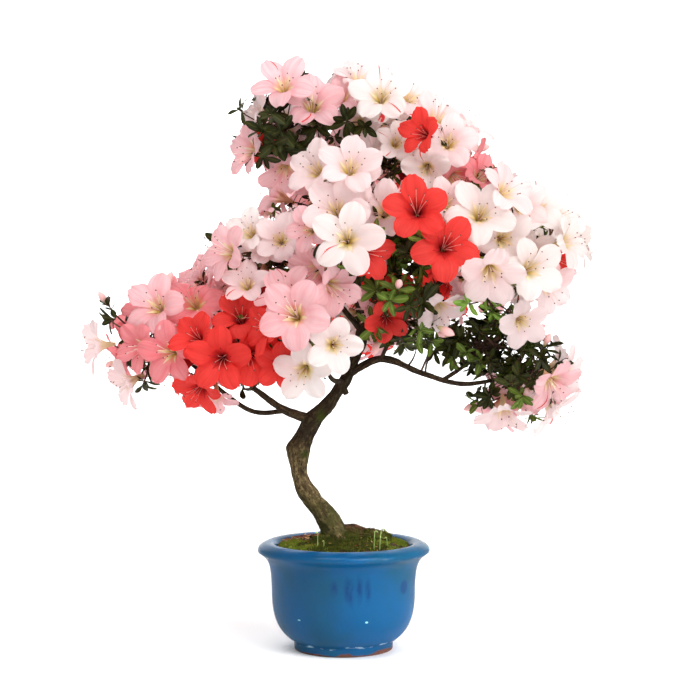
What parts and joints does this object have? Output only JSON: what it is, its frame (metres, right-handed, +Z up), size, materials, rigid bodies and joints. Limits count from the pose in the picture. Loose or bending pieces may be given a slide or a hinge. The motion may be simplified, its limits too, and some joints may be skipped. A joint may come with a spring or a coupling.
{
  "type": "azalea bonsai in a pot",
  "caption": "Flowering azalea bonsai: a curved trunk with spreading boughs under masses of red, pink and white blossom and small leaves, in a round blue glazed pot filled with mossy soil.",
  "frame": {"origin": "middle of the pot's flat underside, on the pot's axis", "axes": "+Z up along the pot's axis; -Y is the front that the picture shows; +X is to the right in that view"},
  "size_m": [0.5068, 0.2997, 0.5903],
  "materials": {
    "glaze": "glossy blue glaze",
    "moss": "moss over granular soil",
    "bark": "rough grey-brown bark",
    "bloom": "soft petals and leaves"
  },
  "bodies": {
    "root": {"pot": "glaze", "soil_and_moss": "moss", "trunk": "bark", "bough_left_low": "bark", "bough_far_left": "bark", "bough_right_long": "bark", "bough_right_mid": "bark", "bough_right_upper": "bark", "bough_right_front": "bark", "bough_left_mid": "bark", "bough_top_left": "bark", "bough_front_low": "bark", "bough_front_centre": "bark", "bough_centre_red": "bark", "bough_centre_low": "bark", "bough_upper_front": "bark", "bough_right_high": "bark", "bough_top_right": "bark", "bough_back_left": "bark", "bough_back_low": "bark", "bough_back_right": "bark", "bough_back_upper": "bark", "bough_back_top": "bark", "mass_front_centre": "bloom", "mass_centre_red": "bloom", "mass_upper_front": "bloom", "mass_front_low": "bloom", "mass_left_low": "bloom", "mass_far_left": "bloom", "mass_left_mid": "bloom", "mass_top_left": "bloom", "mass_top": "bloom", "mass_top_right": "bloom", "mass_right_high": "bloom", "mass_right_upper": "bloom", "mass_right_front": "bloom", "mass_centre_low": "bloom", "mass_right_mid": "bloom", "mass_right_tip": "bloom", "mass_back_left": "bloom", "mass_back_low": "bloom", "mass_back_right": "bloom", "mass_back_upper": "bloom", "mass_back_top": "bloom"}
  },
  "joints": []
}
